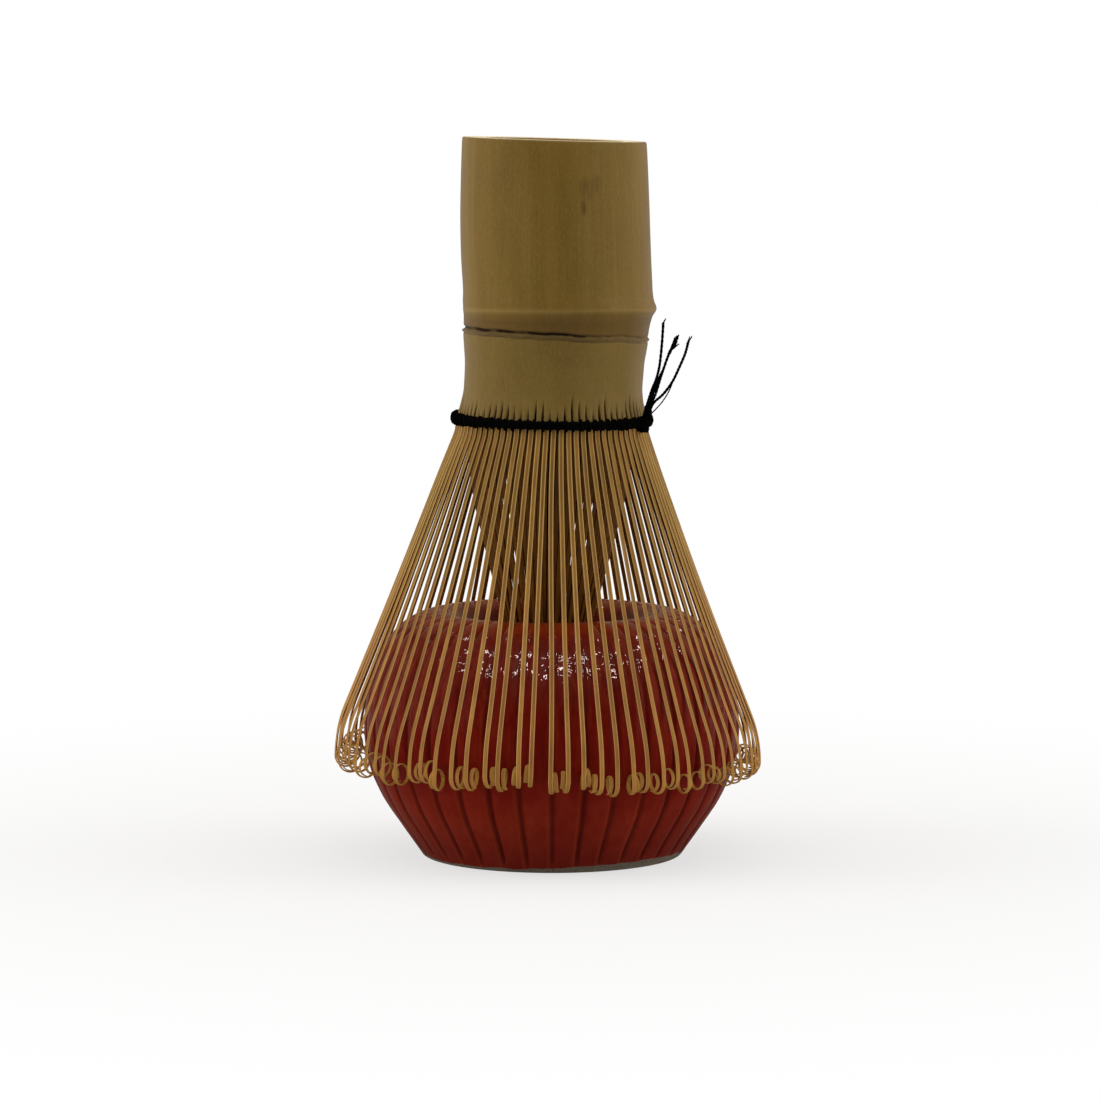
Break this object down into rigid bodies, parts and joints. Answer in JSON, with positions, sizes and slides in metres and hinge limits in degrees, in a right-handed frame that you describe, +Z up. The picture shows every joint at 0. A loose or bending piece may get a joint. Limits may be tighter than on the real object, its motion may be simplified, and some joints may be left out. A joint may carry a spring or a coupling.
{
  "type": "tea whisk",
  "caption": "Bamboo tea whisk standing handle up on a fluted red-glazed ceramic holder, its splayed tines curled in at the tips below a woven black thread.",
  "frame": {"origin": "centre of the holder's foot, on the table", "axes": "+Z up the whisk's axis, the front towards -Y, the thread's knot at the front right (+X)"},
  "size_m": [0.0668, 0.0668, 0.1126],
  "materials": {
    "bamboo_culm": "smooth natural bamboo skin, satin",
    "bamboo_tines": "shaved bamboo, matt inside and satin outside",
    "thread": "twisted cotton, matt black",
    "glazed_ceramic": "glossy red-brown glaze over ceramic, opaque"
  },
  "bodies": {
    "holder": {"holder_body": "glazed_ceramic"},
    "whisk": {"culm_handle": "bamboo_culm", "binding_thread": "thread", "thread_knot": "thread"},
    "outer_split_01": {"outer_tines_01": "bamboo_tines"},
    "outer_split_02": {"outer_tines_02": "bamboo_tines"},
    "outer_split_03": {"outer_tines_03": "bamboo_tines"},
    "outer_split_04": {"outer_tines_04": "bamboo_tines"},
    "outer_split_05": {"outer_tines_05": "bamboo_tines"},
    "outer_split_06": {"outer_tines_06": "bamboo_tines"},
    "outer_split_07": {"outer_tines_07": "bamboo_tines"},
    "outer_split_08": {"outer_tines_08": "bamboo_tines"},
    "outer_split_09": {"outer_tines_09": "bamboo_tines"},
    "outer_split_10": {"outer_tines_10": "bamboo_tines"},
    "outer_split_11": {"outer_tines_11": "bamboo_tines"},
    "outer_split_12": {"outer_tines_12": "bamboo_tines"},
    "outer_split_13": {"outer_tines_13": "bamboo_tines"},
    "outer_split_14": {"outer_tines_14": "bamboo_tines"},
    "outer_split_15": {"outer_tines_15": "bamboo_tines"},
    "outer_split_16": {"outer_tines_16": "bamboo_tines"},
    "inner_split_01": {"inner_tines_01": "bamboo_tines"},
    "inner_split_02": {"inner_tines_02": "bamboo_tines"},
    "inner_split_03": {"inner_tines_03": "bamboo_tines"},
    "inner_split_04": {"inner_tines_04": "bamboo_tines"},
    "inner_split_05": {"inner_tines_05": "bamboo_tines"},
    "inner_split_06": {"inner_tines_06": "bamboo_tines"},
    "inner_split_07": {"inner_tines_07": "bamboo_tines"},
    "inner_split_08": {"inner_tines_08": "bamboo_tines"},
    "inner_split_09": {"inner_tines_09": "bamboo_tines"},
    "inner_split_10": {"inner_tines_10": "bamboo_tines"},
    "inner_split_11": {"inner_tines_11": "bamboo_tines"},
    "inner_split_12": {"inner_tines_12": "bamboo_tines"},
    "inner_split_13": {"inner_tines_13": "bamboo_tines"},
    "inner_split_14": {"inner_tines_14": "bamboo_tines"},
    "inner_split_15": {"inner_tines_15": "bamboo_tines"},
    "inner_split_16": {"inner_tines_16": "bamboo_tines"}
  },
  "joints": [
    {"name": "whisk_lift", "type": "slide", "parent": "holder", "child": "whisk", "axis": [0, 0, 1], "range_m": [0, 0.06]},
    {"name": "outer_spread_01", "type": "hinge", "parent": "whisk", "child": "outer_split_01", "pos_m": [0.0149, 0, 0.068], "axis": [0, -1, 0], "range_deg": [0, 5], "stiffness_Nm_per_rad": 0.01},
    {"name": "outer_spread_02", "type": "hinge", "parent": "whisk", "child": "outer_split_02", "pos_m": [0.01377, 0.0057, 0.068], "axis": [0.3827, -0.9239, 0], "range_deg": [0, 5], "stiffness_Nm_per_rad": 0.01},
    {"name": "outer_spread_03", "type": "hinge", "parent": "whisk", "child": "outer_split_03", "pos_m": [0.01054, 0.01054, 0.068], "axis": [0.7071, -0.7071, 0], "range_deg": [0, 5], "stiffness_Nm_per_rad": 0.01},
    {"name": "outer_spread_04", "type": "hinge", "parent": "whisk", "child": "outer_split_04", "pos_m": [0.0057, 0.01377, 0.068], "axis": [0.9239, -0.3827, 0], "range_deg": [0, 5], "stiffness_Nm_per_rad": 0.01},
    {"name": "outer_spread_05", "type": "hinge", "parent": "whisk", "child": "outer_split_05", "pos_m": [0, 0.0149, 0.068], "axis": [1, 0, 0], "range_deg": [0, 5], "stiffness_Nm_per_rad": 0.01},
    {"name": "outer_spread_06", "type": "hinge", "parent": "whisk", "child": "outer_split_06", "pos_m": [-0.0057, 0.01377, 0.068], "axis": [0.9239, 0.3827, 0], "range_deg": [0, 5], "stiffness_Nm_per_rad": 0.01},
    {"name": "outer_spread_07", "type": "hinge", "parent": "whisk", "child": "outer_split_07", "pos_m": [-0.01054, 0.01054, 0.068], "axis": [0.7071, 0.7071, 0], "range_deg": [0, 5], "stiffness_Nm_per_rad": 0.01},
    {"name": "outer_spread_08", "type": "hinge", "parent": "whisk", "child": "outer_split_08", "pos_m": [-0.01377, 0.0057, 0.068], "axis": [0.3827, 0.9239, 0], "range_deg": [0, 5], "stiffness_Nm_per_rad": 0.01},
    {"name": "outer_spread_09", "type": "hinge", "parent": "whisk", "child": "outer_split_09", "pos_m": [-0.0149, 0, 0.068], "axis": [0, 1, 0], "range_deg": [0, 5], "stiffness_Nm_per_rad": 0.01},
    {"name": "outer_spread_10", "type": "hinge", "parent": "whisk", "child": "outer_split_10", "pos_m": [-0.01377, -0.0057, 0.068], "axis": [-0.3827, 0.9239, 0], "range_deg": [0, 5], "stiffness_Nm_per_rad": 0.01},
    {"name": "outer_spread_11", "type": "hinge", "parent": "whisk", "child": "outer_split_11", "pos_m": [-0.01054, -0.01054, 0.068], "axis": [-0.7071, 0.7071, 0], "range_deg": [0, 5], "stiffness_Nm_per_rad": 0.01},
    {"name": "outer_spread_12", "type": "hinge", "parent": "whisk", "child": "outer_split_12", "pos_m": [-0.0057, -0.01377, 0.068], "axis": [-0.9239, 0.3827, 0], "range_deg": [0, 5], "stiffness_Nm_per_rad": 0.01},
    {"name": "outer_spread_13", "type": "hinge", "parent": "whisk", "child": "outer_split_13", "pos_m": [0, -0.0149, 0.068], "axis": [-1, 0, 0], "range_deg": [0, 5], "stiffness_Nm_per_rad": 0.01},
    {"name": "outer_spread_14", "type": "hinge", "parent": "whisk", "child": "outer_split_14", "pos_m": [0.0057, -0.01377, 0.068], "axis": [-0.9239, -0.3827, 0], "range_deg": [0, 5], "stiffness_Nm_per_rad": 0.01},
    {"name": "outer_spread_15", "type": "hinge", "parent": "whisk", "child": "outer_split_15", "pos_m": [0.01054, -0.01054, 0.068], "axis": [-0.7071, -0.7071, 0], "range_deg": [0, 5], "stiffness_Nm_per_rad": 0.01},
    {"name": "outer_spread_16", "type": "hinge", "parent": "whisk", "child": "outer_split_16", "pos_m": [0.01377, -0.0057, 0.068], "axis": [-0.3827, -0.9239, 0], "range_deg": [0, 5], "stiffness_Nm_per_rad": 0.01},
    {"name": "inner_spread_01", "type": "hinge", "parent": "whisk", "child": "inner_split_01", "pos_m": [0.0129, 0, 0.068], "axis": [0, -1, 0], "range_deg": [0, 4], "stiffness_Nm_per_rad": 0.002},
    {"name": "inner_spread_02", "type": "hinge", "parent": "whisk", "child": "inner_split_02", "pos_m": [0.01192, 0.00494, 0.068], "axis": [0.3827, -0.9239, 0], "range_deg": [0, 4], "stiffness_Nm_per_rad": 0.002},
    {"name": "inner_spread_03", "type": "hinge", "parent": "whisk", "child": "inner_split_03", "pos_m": [0.00912, 0.00912, 0.068], "axis": [0.7071, -0.7071, 0], "range_deg": [0, 4], "stiffness_Nm_per_rad": 0.002},
    {"name": "inner_spread_04", "type": "hinge", "parent": "whisk", "child": "inner_split_04", "pos_m": [0.00494, 0.01192, 0.068], "axis": [0.9239, -0.3827, 0], "range_deg": [0, 4], "stiffness_Nm_per_rad": 0.002},
    {"name": "inner_spread_05", "type": "hinge", "parent": "whisk", "child": "inner_split_05", "pos_m": [0, 0.0129, 0.068], "axis": [1, 0, 0], "range_deg": [0, 4], "stiffness_Nm_per_rad": 0.002},
    {"name": "inner_spread_06", "type": "hinge", "parent": "whisk", "child": "inner_split_06", "pos_m": [-0.00494, 0.01192, 0.068], "axis": [0.9239, 0.3827, 0], "range_deg": [0, 4], "stiffness_Nm_per_rad": 0.002},
    {"name": "inner_spread_07", "type": "hinge", "parent": "whisk", "child": "inner_split_07", "pos_m": [-0.00912, 0.00912, 0.068], "axis": [0.7071, 0.7071, 0], "range_deg": [0, 4], "stiffness_Nm_per_rad": 0.002},
    {"name": "inner_spread_08", "type": "hinge", "parent": "whisk", "child": "inner_split_08", "pos_m": [-0.01192, 0.00494, 0.068], "axis": [0.3827, 0.9239, 0], "range_deg": [0, 4], "stiffness_Nm_per_rad": 0.002},
    {"name": "inner_spread_09", "type": "hinge", "parent": "whisk", "child": "inner_split_09", "pos_m": [-0.0129, 0, 0.068], "axis": [0, 1, 0], "range_deg": [0, 4], "stiffness_Nm_per_rad": 0.002},
    {"name": "inner_spread_10", "type": "hinge", "parent": "whisk", "child": "inner_split_10", "pos_m": [-0.01192, -0.00494, 0.068], "axis": [-0.3827, 0.9239, 0], "range_deg": [0, 4], "stiffness_Nm_per_rad": 0.002},
    {"name": "inner_spread_11", "type": "hinge", "parent": "whisk", "child": "inner_split_11", "pos_m": [-0.00912, -0.00912, 0.068], "axis": [-0.7071, 0.7071, 0], "range_deg": [0, 4], "stiffness_Nm_per_rad": 0.002},
    {"name": "inner_spread_12", "type": "hinge", "parent": "whisk", "child": "inner_split_12", "pos_m": [-0.00494, -0.01192, 0.068], "axis": [-0.9239, 0.3827, 0], "range_deg": [0, 4], "stiffness_Nm_per_rad": 0.002},
    {"name": "inner_spread_13", "type": "hinge", "parent": "whisk", "child": "inner_split_13", "pos_m": [0, -0.0129, 0.068], "axis": [-1, 0, 0], "range_deg": [0, 4], "stiffness_Nm_per_rad": 0.002},
    {"name": "inner_spread_14", "type": "hinge", "parent": "whisk", "child": "inner_split_14", "pos_m": [0.00494, -0.01192, 0.068], "axis": [-0.9239, -0.3827, 0], "range_deg": [0, 4], "stiffness_Nm_per_rad": 0.002},
    {"name": "inner_spread_15", "type": "hinge", "parent": "whisk", "child": "inner_split_15", "pos_m": [0.00912, -0.00912, 0.068], "axis": [-0.7071, -0.7071, 0], "range_deg": [0, 4], "stiffness_Nm_per_rad": 0.002},
    {"name": "inner_spread_16", "type": "hinge", "parent": "whisk", "child": "inner_split_16", "pos_m": [0.01192, -0.00494, 0.068], "axis": [-0.3827, -0.9239, 0], "range_deg": [0, 4], "stiffness_Nm_per_rad": 0.002}
  ],
  "couplings": [
    {"joint": "outer_spread_02", "follows": "outer_spread_01", "ratio": 1},
    {"joint": "outer_spread_03", "follows": "outer_spread_01", "ratio": 1},
    {"joint": "outer_spread_04", "follows": "outer_spread_01", "ratio": 1},
    {"joint": "outer_spread_05", "follows": "outer_spread_01", "ratio": 1},
    {"joint": "outer_spread_06", "follows": "outer_spread_01", "ratio": 1},
    {"joint": "outer_spread_07", "follows": "outer_spread_01", "ratio": 1},
    {"joint": "outer_spread_08", "follows": "outer_spread_01", "ratio": 1},
    {"joint": "outer_spread_09", "follows": "outer_spread_01", "ratio": 1},
    {"joint": "outer_spread_10", "follows": "outer_spread_01", "ratio": 1},
    {"joint": "outer_spread_11", "follows": "outer_spread_01", "ratio": 1},
    {"joint": "outer_spread_12", "follows": "outer_spread_01", "ratio": 1},
    {"joint": "outer_spread_13", "follows": "outer_spread_01", "ratio": 1},
    {"joint": "outer_spread_14", "follows": "outer_spread_01", "ratio": 1},
    {"joint": "outer_spread_15", "follows": "outer_spread_01", "ratio": 1},
    {"joint": "outer_spread_16", "follows": "outer_spread_01", "ratio": 1},
    {"joint": "inner_spread_02", "follows": "inner_spread_01", "ratio": 1},
    {"joint": "inner_spread_03", "follows": "inner_spread_01", "ratio": 1},
    {"joint": "inner_spread_04", "follows": "inner_spread_01", "ratio": 1},
    {"joint": "inner_spread_05", "follows": "inner_spread_01", "ratio": 1},
    {"joint": "inner_spread_06", "follows": "inner_spread_01", "ratio": 1},
    {"joint": "inner_spread_07", "follows": "inner_spread_01", "ratio": 1},
    {"joint": "inner_spread_08", "follows": "inner_spread_01", "ratio": 1},
    {"joint": "inner_spread_09", "follows": "inner_spread_01", "ratio": 1},
    {"joint": "inner_spread_10", "follows": "inner_spread_01", "ratio": 1},
    {"joint": "inner_spread_11", "follows": "inner_spread_01", "ratio": 1},
    {"joint": "inner_spread_12", "follows": "inner_spread_01", "ratio": 1},
    {"joint": "inner_spread_13", "follows": "inner_spread_01", "ratio": 1},
    {"joint": "inner_spread_14", "follows": "inner_spread_01", "ratio": 1},
    {"joint": "inner_spread_15", "follows": "inner_spread_01", "ratio": 1},
    {"joint": "inner_spread_16", "follows": "inner_spread_01", "ratio": 1}
  ]
}
